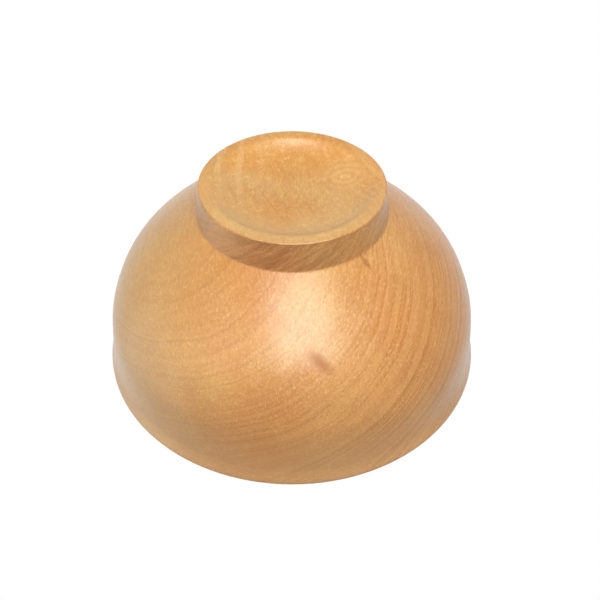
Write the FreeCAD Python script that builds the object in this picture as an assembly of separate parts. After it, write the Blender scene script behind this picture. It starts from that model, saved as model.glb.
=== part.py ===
# Turned wooden yarn bowl: one block of wood, hollowed on the lathe, on a turned foot ring.
# Frame: +Z up out of the open mouth, origin at the centre of the foot's flat ring, which
# rests on z = 0. The yarn slot is cut through the +Y wall. All lengths in millimetres.
import FreeCAD, Part
import os
from FreeCAD import Vector

# ---------------------------------------------------------------- driving dimensions
FOOT_R = 34.6           # outer radius of the foot's flat ring
FOOT_NECK_R = 36.0      # radius where the foot meets the body
FOOT_H = 11.65          # height of the foot's side
RECESS_R = 30.15        # radius of the dished recess in the foot
RECESS_DEPTH = 4.6      # depth of that recess at its centre
RECESS_SHAPE = [(0.0, 1.0), (0.35, 0.95), (0.62, 0.79), (0.82, 0.53), (0.93, 0.26), (1.0, 0.0)]
FOOT_EDGE_R = 0.5       # rounding of the foot ring's outer edge
RECESS_EDGE_R = 3.0     # rounding of its inner edge, where it rolls into the recess
NECK_FILLET = 0.9       # cove where the foot meets the body

# Wall section, in three runs that meet without a crease: (radius, height)
OUTER = [               # from the neck of the foot up to just below the lip
    (36.00, 11.65), (40.23, 14.65), (44.27, 17.60), (48.03, 20.60), (51.53, 23.60),
    (54.79, 26.60), (57.77, 29.55), (60.43, 32.50), (62.78, 35.50), (64.80, 38.50),
    (66.53, 41.45), (68.00, 44.45), (69.24, 47.45), (70.36, 50.45), (71.30, 53.35),
    (72.03, 56.35), (72.53, 59.35), (72.88, 62.35), (73.14, 65.30), (73.36, 68.30),
    (73.60, 71.30), (73.95, 74.30),
]
LIP = [                 # over the rounded lip
    (73.95, 74.30), (74.37, 76.40), (74.87, 78.20), (75.25, 79.60), (75.15, 80.45),
    (74.50, 80.95), (73.35, 81.10), (72.20, 80.85), (71.30, 80.15), (70.65, 79.00),
    (69.45, 75.60),
]
INNER = [               # down the inside to the axis
    (69.45, 75.60), (67.80, 70.60), (65.40, 63.30), (62.00, 55.00), (57.60, 47.00),
    (52.20, 39.60), (45.60, 32.70), (38.00, 26.70), (29.50, 21.90), (20.00, 18.60),
    (10.00, 16.95), (0.00, 16.50),
]
OUTER_END = (0.16, 1.0)     # directions of the section where the runs meet
INNER_START = (-0.32, -1.0)

# Yarn slot, seen from outside the wall and laid out in X and Z: it runs down from the lip,
# round a hook, and ends in a round eye under the tongue of wood that keeps the yarn in.
SLOT_W = 6.4            # width of the slot
SLOT_EYE_R = 5.2        # radius of the eye at its end
SLOT_LINE = [           # centreline of the slot (x, z), from above the lip to the eye
    (-21.0, 86.0), (-17.5, 77.5), (-11.0, 69.0), (-3.5, 61.5), (1.2, 52.8),
    (-1.6, 43.6), (-10.2, 40.2), (-18.2, 44.6), (-19.0, 53.0),
]
SLOT_EDGE_R = 0.7       # rounding along the slot's edges

os.makedirs("parts", exist_ok=True)


def spline(points, start=None, end=None):
    vectors = [Vector(r, 0.0, z) for r, z in points]
    tangents = [Vector(0, 0, 0) for _ in points]
    flags = [False] * len(points)
    for index, direction in ((0, start), (-1, end)):
        if direction:
            tangents[index] = Vector(direction[0], 0, direction[1]).normalize()
            flags[index] = True
    curve = Part.BSplineCurve()
    if any(flags):
        curve.interpolate(Points=vectors, Tangents=tangents, TangentFlags=flags)
    else:
        curve.interpolate(vectors)
    return curve.toShape()


def line(a, b):
    return Part.makeLine(Vector(a[0], 0.0, a[1]), Vector(b[0], 0.0, b[1]))


def blank():
    """The turned body before the slot is cut: one closed section swept round the axis."""
    recess = spline([(r * RECESS_R, h * RECESS_DEPTH) for r, h in RECESS_SHAPE],
                    start=(1.0, 0.0))
    edges = [
        recess,
        line((RECESS_R, 0.0), (FOOT_R, 0.0)),
        line((FOOT_R, 0.0), (FOOT_NECK_R, FOOT_H)),
        spline(OUTER, end=OUTER_END),
        spline(LIP, start=OUTER_END, end=INNER_START),
        spline(INNER, start=INNER_START, end=(-1.0, 0.0)),
        line(INNER[-1], (0.0, RECESS_DEPTH)),
    ]
    wire = Part.Wire(Part.__sortEdges__(edges))
    return Part.Face(wire).revolve(Vector(0, 0, 0), Vector(0, 0, 1), 360)


def near_circle(edge, radius, z, tol=0.05):
    box = edge.BoundBox
    return (abs(box.ZMin - z) < tol and abs(box.ZMax - z) < tol
            and abs(max(box.XMax, -box.XMin) - radius) < tol)


def round_ring(solid, radius, z, fillet):
    found = [e for e in solid.Edges if near_circle(e, radius, z)]
    return solid.makeFillet(fillet, found)


def slot_tool():
    """A flat ribbon of the slot's width along its centreline, with the eye, pushed through the wall."""
    curve = Part.BSplineCurve()
    curve.interpolate([Vector(x, 0, z) for x, z in SLOT_LINE])
    first, last = curve.FirstParameter, curve.LastParameter
    count = 15
    left, right = [], []
    for i in range(count):
        t = first + (last - first) * i / (count - 1)
        p, d = curve.value(t), curve.tangent(t)[0]
        n = Vector(-d.z, 0, d.x)
        left.append(p + n * (SLOT_W / 2))
        right.append(p - n * (SLOT_W / 2))
    a, b = Part.BSplineCurve(), Part.BSplineCurve()
    a.interpolate(left)
    b.interpolate(right)
    sides = [a.toShape(), Part.makeLine(left[-1], right[-1]), b.toShape(),
             Part.makeLine(right[0], left[0])]
    ribbon = Part.Face(Part.Wire(Part.__sortEdges__(sides)))
    end = curve.value(last)
    eye = Part.Face(Part.Wire(Part.makeCircle(SLOT_EYE_R, end, Vector(0, 1, 0))))
    reach = Vector(0, 60.0, 0)
    tools = [f.translated(Vector(0, 30.0, 0)).extrude(reach) for f in (ribbon, eye)]
    return tools[0].fuse(tools[1]).removeSplitter()


bowl = blank()
bowl = round_ring(bowl, RECESS_R, 0.0, RECESS_EDGE_R)
bowl = round_ring(bowl, FOOT_R, 0.0, FOOT_EDGE_R)
bowl = round_ring(bowl, FOOT_NECK_R, FOOT_H, NECK_FILLET)

# The slot is cut through the finished wall, and its edges are rounded outside, inside and
# over the lip.
before = {round(e.Length, 3) for e in bowl.Edges}
bowl = bowl.cut(slot_tool())
slot_edges = [e for e in bowl.Edges
              if e.BoundBox.YMin > 30.0 and round(e.Length, 3) not in before
              and not (e.BoundBox.XLength < 0.3 and e.BoundBox.ZLength < 0.3)]
for radius in (SLOT_EDGE_R, 0.6, 0.5, 0.4):
    try:
        rounded = bowl.makeFillet(radius, slot_edges)
    except Exception:
        continue
    if rounded.isValid() and len(rounded.Solids) == 1:
        bowl = rounded
        print("slot edges rounded", radius)
        break
    print("slot edges not rounded at", radius)

solid = bowl.Solids[0]
print("solids", len(bowl.Solids), "valid", solid.isValid(), "volume cm3", round(solid.Volume / 1000, 1),
      "box", solid.BoundBox)
solid.exportStep("parts/bowl.step")
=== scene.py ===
import math

import bpy
from mathutils import Matrix, Vector

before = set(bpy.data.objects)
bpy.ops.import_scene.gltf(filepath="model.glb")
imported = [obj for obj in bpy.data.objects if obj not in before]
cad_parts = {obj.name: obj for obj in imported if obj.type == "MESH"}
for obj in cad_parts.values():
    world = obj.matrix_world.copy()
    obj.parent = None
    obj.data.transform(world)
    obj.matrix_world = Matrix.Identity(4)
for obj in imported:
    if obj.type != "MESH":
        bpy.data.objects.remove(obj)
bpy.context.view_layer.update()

scene = bpy.context.scene
scene.view_settings.view_transform = "Standard"
scene.view_settings.look = "None"
scene.view_settings.exposure = 0.0

RIM_R = 0.0750
HEIGHT = 0.0802     # the camera was placed for this height


# ------------------------------------------------------------------ node helpers
class Tree:
    def __init__(self, name):
        self.mat = bpy.data.materials.new(name)
        self.mat.use_nodes = True
        self.t = self.mat.node_tree
        self.t.nodes.clear()

    def node(self, kind, **props):
        n = self.t.nodes.new(kind)
        for k, v in props.items():
            setattr(n, k, v)
        return n

    def link(self, a, b):
        self.t.links.new(a, b)

    def put(self, socket, value):
        if isinstance(value, (int, float)):
            socket.default_value = value
        elif isinstance(value, (tuple, list, Vector)):
            socket.default_value = tuple(value)
        else:
            self.link(value, socket)

    def math(self, op, a, b=None, c=None, clamp=False):
        n = self.node("ShaderNodeMath", operation=op, use_clamp=clamp)
        for i, v in enumerate((a, b, c)):
            if v is not None:
                self.put(n.inputs[i], v)
        return n.outputs[0]

    def vmath(self, op, a, b=None, scale=None):
        n = self.node("ShaderNodeVectorMath", operation=op)
        self.put(n.inputs[0], a)
        if b is not None:
            self.put(n.inputs[1], b)
        if scale is not None:
            self.put(n.inputs["Scale"], scale)
        return n.outputs["Value"] if op in ("DOT_PRODUCT", "LENGTH", "DISTANCE") else n.outputs["Vector"]

    def combine(self, x, y, z):
        n = self.node("ShaderNodeCombineXYZ")
        for i, v in enumerate((x, y, z)):
            self.put(n.inputs[i], v)
        return n.outputs[0]

    def noise(self, vec, scale, detail=2.0, rough=0.5, dims="3D", w=None, distortion=0.0):
        n = self.node("ShaderNodeTexNoise", noise_dimensions=dims)
        if vec is not None:
            self.put(n.inputs["Vector"], vec)
        if w is not None:
            self.put(n.inputs["W"], w)
        n.inputs["Scale"].default_value = scale
        n.inputs["Detail"].default_value = detail
        n.inputs["Roughness"].default_value = rough
        n.inputs["Distortion"].default_value = distortion
        return n.outputs["Fac"], n.outputs["Color"]

    def ramp(self, fac, stops, interp="LINEAR"):
        n = self.node("ShaderNodeValToRGB")
        cr = n.color_ramp
        cr.interpolation = interp
        while len(cr.elements) > 1:
            cr.elements.remove(cr.elements[-1])
        cr.elements[0].position = stops[0][0]
        for i, (pos, col) in enumerate(stops):
            e = cr.elements[0] if i == 0 else cr.elements.new(pos)
            c = col if isinstance(col, (tuple, list)) else (col, col, col)
            e.color = (*c[:3], 1.0)
        self.put(n.inputs["Fac"], fac)
        return n.outputs["Color"]

    def mix(self, fac, a, b, mode="MIX"):
        n = self.node("ShaderNodeMix", data_type="RGBA", blend_type=mode)
        self.put(n.inputs[0], fac)
        for sock, v in ((n.inputs[6], a), (n.inputs[7], b)):
            if isinstance(v, (tuple, list)):
                v = (*v[:3], 1.0)
            self.put(sock, v)
        return n.outputs[2]

    def span(self, v, a, b, c=0.0, d=1.0, smooth=True):
        n = self.node("ShaderNodeMapRange", interpolation_type="SMOOTHSTEP" if smooth else "LINEAR")
        n.clamp = True
        self.put(n.inputs[0], v)
        for i, x in enumerate((a, b, c, d)):
            n.inputs[1 + i].default_value = x
        return n.outputs[0]


def srgb(r, g, b):
    out = []
    for v in (r, g, b):
        v /= 255.0
        out.append(v / 12.92 if v <= 0.04045 else ((v + 0.055) / 1.055) ** 2.4)
    return tuple(out)


# ------------------------------------------------------------------ the wood
# Growth rings are wide cylinders about the tree's pith, which lay far outside the blank. They
# come out as ovals where they run level with the wall, on one shoulder, and as long lines
# elsewhere. GRAIN is the fibres' direction and PITH a point on the pith, in metres.
GRAIN = Vector((-0.0848, 0.9867, -0.1389)).normalized()
AXIS = Vector((-0.5095, -0.7701, -0.3839)).normalized()     # of the ring cylinders
PITH = Vector((0.0877, -0.0069, -0.0241))
E1 = AXIS.cross(Vector((1, 0, 0))).normalized()
E2 = AXIS.cross(E1).normalized()
F1 = GRAIN.cross(Vector((1, 0, 0))).normalized()
F2 = GRAIN.cross(F1).normalized()
SWIRL = Vector((-0.0198, 0.0088, 0.0040))     # a swirl in the foot's recess
KNOT = Vector((-0.0096, -0.0592, 0.0319))


def wood():
    t = Tree("turned wood, satin lacquer")
    tex = t.node("ShaderNodeTexCoord")
    p = tex.outputs["Object"]

    # slow wander of the rings
    _, n1 = t.noise(p, 14.0, 1.0, 0.5)
    _, n2 = t.noise(p, 70.0, 2.0, 0.5)
    w1 = t.vmath("SCALE", t.vmath("SUBTRACT", n1, (0.5, 0.5, 0.5)), scale=0.0065)
    w2 = t.vmath("SCALE", t.vmath("SUBTRACT", n2, (0.5, 0.5, 0.5)), scale=0.0020)
    q = t.vmath("ADD", t.vmath("ADD", t.vmath("SUBTRACT", p, tuple(PITH)), w1), w2)
    u = t.vmath("DOT_PRODUCT", q, tuple(E1))
    v = t.vmath("DOT_PRODUCT", q, tuple(E2))
    r = t.math("SQRT", t.math("ADD", t.math("MULTIPLY", u, u), t.math("MULTIPLY", v, v)))
    # unwarped coordinates along and across the fibres
    q0 = t.vmath("SUBTRACT", p, tuple(PITH))
    fu = t.vmath("DOT_PRODUCT", q0, tuple(F1))
    fv = t.vmath("DOT_PRODUCT", q0, tuple(F2))
    fw = t.vmath("DOT_PRODUCT", q0, tuple(GRAIN))
    fine = t.combine(t.math("MULTIPLY", fu, 1.0), t.math("MULTIPLY", fv, 1.0), t.math("MULTIPLY", fw, 0.06))
    medium = t.combine(fu, fv, t.math("MULTIPLY", fw, 0.11))

    # ring widths vary from year to year
    years, _ = t.noise(None, 260.0, 3.0, 0.6, dims="1D", w=r)
    slow, _ = t.noise(None, 60.0, 1.0, 0.5, dims="1D", w=r)
    phase = t.math("ADD", t.math("MULTIPLY", r, 520.0), t.math("MULTIPLY", years, 2.0))
    phase = t.math("ADD", phase, t.math("MULTIPLY", slow, 3.0))
    frac = t.math("FRACT", phase)
    year = t.math("FLOOR", phase)
    rnd_n = t.node("ShaderNodeTexWhiteNoise", noise_dimensions="1D")
    t.put(rnd_n.inputs["W"], year)
    rnd = rnd_n.outputs["Value"]
    # a soft rise through the summer, then a quick edge
    late = t.ramp(frac, [(0.0, 0.45), (0.16, 0.06), (0.42, 0.10), (0.70, 0.50), (0.88, 0.92), (1.0, 0.45)], "EASE")
    late = t.math("MULTIPLY", late, t.span(rnd, 0.0, 1.0, 0.25, 1.0, smooth=False))
    # the swirl: a few soft ovals about one point, fading out into the rings
    sw = t.vmath("ADD", t.vmath("SUBTRACT", p, tuple(SWIRL)), t.vmath("SCALE", w2, scale=1.3))
    sw = t.vmath("MULTIPLY", sw, (1.0, 1.25, 0.7))
    sd = t.vmath("LENGTH", sw)
    inside = t.span(sd, 0.0035, 0.0150, 1.0, 0.0)
    sring = t.math("SINE", t.math("ADD", t.math("MULTIPLY", sd, 1750.0), t.math("MULTIPLY", slow, 6.0)))
    sring = t.span(sring, -0.6, 1.0, 0.0, 0.60)
    late_mix = t.node("ShaderNodeMix", data_type="FLOAT")
    t.put(late_mix.inputs[0], inside)
    t.put(late_mix.inputs[2], late)
    t.put(late_mix.inputs[3], sring)
    late = late_mix.outputs[0]
    broad = t.span(slow, 0.35, 0.65)

    # fibres, pores and fleck
    fib, _ = t.noise(fine, 2600.0, 3.0, 0.65)
    fib2, _ = t.noise(medium, 1150.0, 3.0, 0.62)
    pore, _ = t.noise(t.combine(fu, fv, t.math("MULTIPLY", fw, 0.10)), 3300.0, 1.0, 0.5)
    pores = t.span(pore, 0.66, 0.76)
    cloud, _ = t.noise(p, 34.0, 4.0, 0.6)
    mottle, _ = t.noise(p, 420.0, 3.0, 0.7)

    patch, _ = t.noise(p, 26.0, 2.0, 0.5)
    geo = t.node("ShaderNodeNewGeometry")
    # faces along the grain: real end grain, and also the mask for painted shade below
    end_grain_and_shade = t.math("ABSOLUTE", t.vmath("DOT_PRODUCT", geo.outputs["Normal"], tuple(GRAIN)))
    end_grain_and_shade = t.span(end_grain_and_shade, 0.62, 1.0)
    sep = t.node("ShaderNodeSeparateXYZ")
    t.link(p, sep.inputs[0])
    px, py, pz = sep.outputs["X"], sep.outputs["Y"], sep.outputs["Z"]
    stripe = t.math("SINE", t.math("ADD", t.math("MULTIPLY", r, 1650.0), t.math("MULTIPLY", years, 13.0)))
    stripe = t.math("MULTIPLY", t.span(stripe, -1.0, 1.0), t.span(px, -0.008, -0.046, 0.22, 1.0))
    stripe = t.math("MULTIPLY", stripe, t.span(patch, 0.34, 0.60, 0.35, 1.0))
    speck, _ = t.noise(t.combine(fu, fv, t.math("MULTIPLY", fw, 0.35)), 1500.0, 2.0, 0.7)

    pale = srgb(214, 166, 98)
    mid = srgb(190, 126, 56)
    dark = srgb(144, 86, 38)
    col = t.mix(t.span(cloud, 0.30, 0.72), pale, mid)
    col = t.mix(t.math("MULTIPLY", broad, 0.35), col, srgb(200, 136, 78))
    col = t.mix(t.math("MULTIPLY", late, t.math("MULTIPLY", t.span(patch, 0.35, 0.65, 0.45, 0.85), t.math("ADD", t.span(px, -0.052, -0.012, 0.80, 0.46), t.math("MULTIPLY", end_grain_and_shade, 0.35)))), col, dark)
    col = t.mix(t.span(fib, 0.42, 0.72, 0.0, 0.28), col, srgb(176, 116, 66))
    col = t.mix(t.span(fib2, 0.50, 0.74, 0.0, 0.38), col, srgb(172, 108, 54))
    col = t.mix(t.span(fib2, 0.50, 0.30, 0.0, 0.24), col, srgb(236, 194, 134))
    col = t.mix(t.span(mottle, 0.55, 0.75, 0.0, 0.16), col, srgb(236, 196, 146))
    col = t.mix(t.span(speck, 0.52, 0.72, 0.0, 0.44), col, srgb(240, 200, 146))
    col = t.mix(t.span(speck, 0.46, 0.28, 0.0, 0.30), col, srgb(160, 102, 54))
    gold, _ = t.noise(p, 24.0, 3.0, 0.55)
    col = t.mix(t.span(gold, 0.50, 0.68, 0.0, 0.34), col, srgb(196, 124, 48))
    col = t.mix(t.span(gold, 0.46, 0.30, 0.0, 0.22), col, srgb(214, 180, 124))
    radius = t.math("SQRT", t.math("ADD", t.math("MULTIPLY", px, px), t.math("MULTIPLY", py, py)))
    low = t.math("MULTIPLY", t.span(pz, 0.0060, 0.0030), t.span(radius, 0.0345, 0.0338))
    # across the recess the colour runs from golden on the far side to greyish on the near side; the greyish near slope
    # is painted shade
    golden = t.math("MULTIPLY", low, t.span(t.math("ADD", py, t.math("MULTIPLY", t.math("SUBTRACT", gold, 0.5), 0.11)), -0.018, 0.014))
    col = t.mix(t.math("MULTIPLY", golden, 0.50), col, srgb(204, 140, 52))
    col = t.mix(t.math("MULTIPLY", t.math("SUBTRACT", low, golden), 0.52), col, srgb(198, 164, 110))
    pale_x = t.math("SINE", t.math("ADD", t.math("MULTIPLY", px, 820.0), t.math("MULTIPLY", cloud, 9.0)))
    pale_x = t.math("MULTIPLY", t.span(pale_x, 0.1, 1.0, 0.0, 0.22), t.math("MULTIPLY", low, t.span(px, 0.009, 0.016)))
    pale_x = t.math("MULTIPLY", pale_x, t.span(py, -0.014, 0.012, 0.15, 1.0))
    col = t.mix(pale_x, col, srgb(236, 204, 150))
    flame = t.math("MULTIPLY", low, t.span(patch, 0.40, 0.62))
    col = t.mix(t.math("MULTIPLY", flame, 0.26), col, srgb(226, 182, 116))
    col = t.mix(t.math("MULTIPLY", low, t.span(mottle, 0.50, 0.70, 0.0, 0.36)), col, srgb(238, 196, 126))
    col = t.mix(t.math("MULTIPLY", inside, 0.26), col, srgb(222, 188, 132))
    col = t.mix(t.math("MULTIPLY", t.math("MULTIPLY", inside, sring), 0.30), col, srgb(160, 104, 48))
    # pale sapwood on one side, warmer heartwood on the other
    side = t.math("ADD", px, t.math("MULTIPLY", t.math("SUBTRACT", cloud, 0.5), 0.05))
    col = t.mix(t.span(side, 0.005, 0.070, 0.0, 0.55), col, srgb(198, 166, 112))
    col = t.mix(t.span(side, -0.010, -0.075, 0.0, 0.50), col, srgb(202, 130, 60))
    # the wall towards the rim is painted paler and greyer: a painted reflection of a white table at grazing angles
    col = t.mix(t.span(pz, 0.050, 0.080, 0.0, 0.42), col, srgb(204, 166, 126))
    # end grain, where the fibres run into the surface, drinks the finish and is darker; this darkening is also painted
    # shade on the walls that face along the grain, the foot's side and the lower wall among them
    col = t.mix(t.math("MULTIPLY", end_grain_and_shade, 0.34), col, srgb(150, 100, 58))
    slant = t.combine(t.vmath("DOT_PRODUCT", p, (0.52, 0.0, -0.85)),
                      t.math("MULTIPLY", t.vmath("DOT_PRODUCT", p, (-0.85, 0.0, -0.52)), 0.10),
                      t.math("MULTIPLY", py, 0.12))
    streak, _ = t.noise(slant, 780.0, 3.0, 0.6)
    # the foot is painted darker brown, most on its faces along the grain: the streaks in it are grain, the darkening
    # is painted shade on the foot's side
    foot_streaks_and_shade = t.math("MULTIPLY", t.span(pz, 0.0122, 0.0108), t.math("ADD", t.math("MULTIPLY", end_grain_and_shade, 0.7), 0.3))
    foot_streaks_and_shade = t.math("MULTIPLY", foot_streaks_and_shade, t.math("SUBTRACT", 1.0, low))
    col = t.mix(t.math("MULTIPLY", foot_streaks_and_shade, t.span(streak, 0.38, 0.64, 0.10, 0.56)), col, srgb(134, 80, 42))
    col = t.mix(t.math("MULTIPLY", pores, 0.45), col, srgb(112, 66, 34))

    col = t.mix(t.math("MULTIPLY", stripe, 0.27), col, srgb(232, 184, 128))
    # light early wood beside some of the dark lines
    early = t.ramp(frac, [(0.0, 0.0), (0.16, 1.0), (0.42, 0.0)], "EASE")
    early = t.math("MULTIPLY", early, t.span(rnd, 0.45, 1.0, 0.0, 1.0, smooth=False))
    early = t.math("MULTIPLY", early, t.span(px, 0.000, -0.050, 0.06, 0.26))
    col = t.mix(early, col, srgb(236, 186, 122))

    # one small dark pin knot, low on the wall
    dk = t.vmath("SUBTRACT", p, tuple(KNOT))
    kx = t.math("DIVIDE", t.vmath("DOT_PRODUCT", dk, (-0.707, -0.474, 0.523)), 0.0066)
    kz = t.math("DIVIDE", t.vmath("DOT_PRODUCT", dk, (0.707, -0.474, 0.523)), 0.0026)
    ky = t.math("DIVIDE", t.vmath("DOT_PRODUCT", dk, (0.0, 0.74, 0.67)), 0.009)
    kd = t.math("SQRT", t.math("ADD", t.math("ADD", t.math("MULTIPLY", kx, kx), t.math("MULTIPLY", kz, kz)),
                               t.math("MULTIPLY", ky, ky)))
    knot = t.span(t.math("ADD", kd, t.math("MULTIPLY", fib2, 0.8)), 0.40, 1.75, 0.82, 0.0)
    col = t.mix(knot, col, srgb(162, 90, 2))
    # and a short brown mark beside the foot
    dm = t.vmath("SUBTRACT", p, (-0.0259, -0.0283, 0.0133))
    along = t.vmath("DOT_PRODUCT", dm, (-0.602, -0.552, 0.578))
    full = t.vmath("LENGTH", dm)
    off = t.math("SQRT", t.math("MAXIMUM", t.math("SUBTRACT", t.math("MULTIPLY", full, full), t.math("MULTIPLY", along, along)), 0.0))
    md = t.math("ADD", t.math("DIVIDE", t.math("ABSOLUTE", along), 0.0033), t.math("DIVIDE", off, 0.0011))
    col = t.mix(t.span(md, 0.5, 1.7, 0.55, 0.0), col, srgb(150, 80, 24))
    # the finish warms the wood
    col = t.mix(1.0, col, (0.985, 0.955, 0.88), "MULTIPLY")

    bsdf = t.node("ShaderNodeBsdfPrincipled")
    t.put(bsdf.inputs["Base Color"], col)
    rough = t.math("ADD", t.span(mottle, 0.35, 0.70, 0.36, 0.44), t.math("MULTIPLY", pores, 0.10))
    rough = t.math("ADD", rough, t.math("MULTIPLY", knot, 0.25))
    t.put(bsdf.inputs["Roughness"], rough)
    bsdf.inputs["IOR"].default_value = 1.5
    bsdf.inputs["Coat Weight"].default_value = 0.50
    bsdf.inputs["Coat Roughness"].default_value = 0.27
    bsdf.inputs["Coat IOR"].default_value = 1.5

    # the surface: ring relief, fibre and pores, and a slow waviness
    height = t.math("ADD", t.math("MULTIPLY", late, 0.35), t.math("MULTIPLY", fib, 0.5))
    height = t.math("SUBTRACT", height, t.math("MULTIPLY", pores, 0.9))
    bump = t.node("ShaderNodeBump")
    bump.inputs["Strength"].default_value = 0.40
    bump.inputs["Distance"].default_value = 0.00020
    t.put(bump.inputs["Height"], height)
    slow_h, _ = t.noise(p, 60.0, 2.0, 0.5)
    bump2 = t.node("ShaderNodeBump")
    bump2.inputs["Strength"].default_value = 0.35
    bump2.inputs["Distance"].default_value = 0.0012
    t.put(bump2.inputs["Height"], slow_h)
    t.link(bump.outputs[0], bump2.inputs["Normal"])
    t.link(bump2.outputs[0], bsdf.inputs["Normal"])

    out = t.node("ShaderNodeOutputMaterial")
    t.link(bsdf.outputs[0], out.inputs["Surface"])
    return t.mat


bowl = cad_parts["bowl"]
if not bowl.material_slots:
    bowl.data.materials.append(None)
for s in bowl.material_slots:
    s.material = wood()


# ------------------------------------------------------------------ the studio
# The viewer looks up at the foot from below, and the floor that the bowl stands on is only
# seen from above, so that the foot isn't hidden.
def plane(name, size, z, flip=False):
    s = size / 2
    mesh = bpy.data.meshes.new(name)
    vs = [(-s, -s, z), (s, -s, z), (s, s, z), (-s, s, z)]
    mesh.from_pydata(vs, [], [(0, 1, 2, 3) if not flip else (3, 2, 1, 0)])
    o = bpy.data.objects.new(name, mesh)
    scene.collection.objects.link(o)
    return o


def floor_material():
    t = Tree("pale floor")
    geo = t.node("ShaderNodeNewGeometry")
    dif = t.node("ShaderNodeBsdfDiffuse")
    dif.inputs["Color"].default_value = (0.84, 0.84, 0.84, 1)
    clear = t.node("ShaderNodeBsdfTransparent")
    far = t.span(t.vmath("LENGTH", geo.outputs["Position"]), 0.55, 2.60)
    white = t.node("ShaderNodeEmission")
    sweep = t.node("ShaderNodeMixShader")
    t.put(sweep.inputs[0], far)
    t.link(dif.outputs[0], sweep.inputs[1])
    t.link(white.outputs[0], sweep.inputs[2])
    mix = t.node("ShaderNodeMixShader")
    t.link(geo.outputs["Backfacing"], mix.inputs[0])
    t.link(sweep.outputs[0], mix.inputs[1])
    t.link(clear.outputs[0], mix.inputs[2])
    out = t.node("ShaderNodeOutputMaterial")
    t.link(mix.outputs[0], out.inputs["Surface"])
    return t.mat


floor = plane("floor", 6.0, -0.0004)
floor.data.materials.append(floor_material())
floor.visible_shadow = False
floor.visible_diffuse = False
floor.visible_glossy = False

world = bpy.data.worlds.new("studio")
scene.world = world
world.use_nodes = True
wt = world.node_tree
wt.nodes.clear()
bg = wt.nodes.new("ShaderNodeBackground")
bg.inputs["Strength"].default_value = 1.0
wtc = wt.nodes.new("ShaderNodeTexCoord")
wdot = wt.nodes.new("ShaderNodeVectorMath")
wdot.operation = "DOT_PRODUCT"
wdot.inputs[1].default_value = (0.0, 0.75, 0.66)     # brightest behind the bowl
wt.links.new(wtc.outputs["Generated"], wdot.inputs[0])
wmap = wt.nodes.new("ShaderNodeMapRange")
wmap.interpolation_type = "SMOOTHSTEP"
for i, x in enumerate((0.30, 0.95, 0.0, 1.0)):
    wmap.inputs[1 + i].default_value = x
wt.links.new(wdot.outputs["Value"], wmap.inputs[0])
wramp = wt.nodes.new("ShaderNodeValToRGB")
wt.links.new(wmap.outputs[0], wramp.inputs["Fac"])
wramp.color_ramp.elements[0].color = (0.35, 0.35, 0.35, 1)
wramp.color_ramp.elements[1].color = (1.0, 1.0, 1.0, 1)
wt.links.new(wramp.outputs[0], bg.inputs["Color"])
seen = wt.nodes.new("ShaderNodeBackground")
seen.inputs["Color"].default_value = (1.0, 1.0, 1.0, 1)
seen.inputs["Strength"].default_value = 1.0
path = wt.nodes.new("ShaderNodeLightPath")
mixw = wt.nodes.new("ShaderNodeMixShader")
wo = wt.nodes.new("ShaderNodeOutputWorld")
wt.links.new(path.outputs["Is Camera Ray"], mixw.inputs[0])
wt.links.new(bg.outputs[0], mixw.inputs[1])
wt.links.new(seen.outputs[0], mixw.inputs[2])
wt.links.new(mixw.outputs[0], wo.inputs["Surface"])


def area(name, loc, target, size, power, colour=(1, 1, 1), size_y=None):
    d = bpy.data.lights.new(name, "AREA")
    d.energy = power
    d.color = colour
    d.size = size
    if size_y:
        d.shape = "RECTANGLE"
        d.size_y = size_y
    o = bpy.data.objects.new(name, d)
    o.location = loc
    o.rotation_mode = "QUATERNION"
    o.rotation_quaternion = (Vector(target) - Vector(loc)).to_track_quat("-Z", "Y")
    scene.collection.objects.link(o)
    o.visible_camera = False
    return o


MID = (0.0, 0.0, 0.045)
area("viewer side softbox", (-0.10, -0.74, -0.86), MID, 0.74, 12.2)
area("foot side softbox", (0.02, 0.05, -1.20), MID, 0.35, 4.0)
area("side card", (3.30, -0.30, 0.66), MID, 3.00, 19.8)
area("left fill", (0.66, -0.70, -0.46), MID, 0.60, 1.3)
area("overhead softbox", (0.30, 0.20, 1.20), MID, 0.70, 3.0)
sky = bpy.data.lights.new("overhead sun", "SUN")
sky.energy = 1.15
sky.angle = math.radians(45)
sky_o = bpy.data.objects.new("overhead sun", sky)
sky_o.rotation_mode = "QUATERNION"
sky_o.rotation_quaternion = Vector((-0.30, -0.40, -1.0)).to_track_quat("-Z", "Y")
scene.collection.objects.link(sky_o)
sky_o.visible_glossy = False


# ------------------------------------------------------------------ the camera
def camera():
    r = RIM_R
    f, c, h = 930.5, 3.6853 * r, 3.7634 * r
    yaw, pitch, roll = 0.0116, 0.756, 0.0102
    ahead = Vector((math.sin(yaw) * math.cos(pitch), math.cos(yaw) * math.cos(pitch), -math.sin(pitch)))
    right = Vector((math.cos(yaw), -math.sin(yaw), 0.0))
    up = right.cross(ahead)
    r2 = math.cos(roll) * right + math.sin(roll) * up
    u2 = -math.sin(roll) * right + math.cos(roll) * up

    def turn(v):  # the picture shows the bowl upside down
        return Vector((-v.x, v.y, -v.z))

    loc = Vector((0.0, -c, HEIGHT - h))
    x, y, z = turn(r2), turn(u2), -turn(ahead)
    m = Matrix(((x.x, y.x, z.x, loc.x), (x.y, y.y, z.y, loc.y), (x.z, y.z, z.z, loc.z), (0, 0, 0, 1)))
    d = bpy.data.cameras.new("camera")
    d.sensor_width = 36.0
    d.lens = f * 36.0 / 600.0
    d.clip_start, d.clip_end = 0.01, 20.0
    o = bpy.data.objects.new("camera", d)
    o.matrix_world = m
    scene.collection.objects.link(o)
    scene.camera = o


camera()
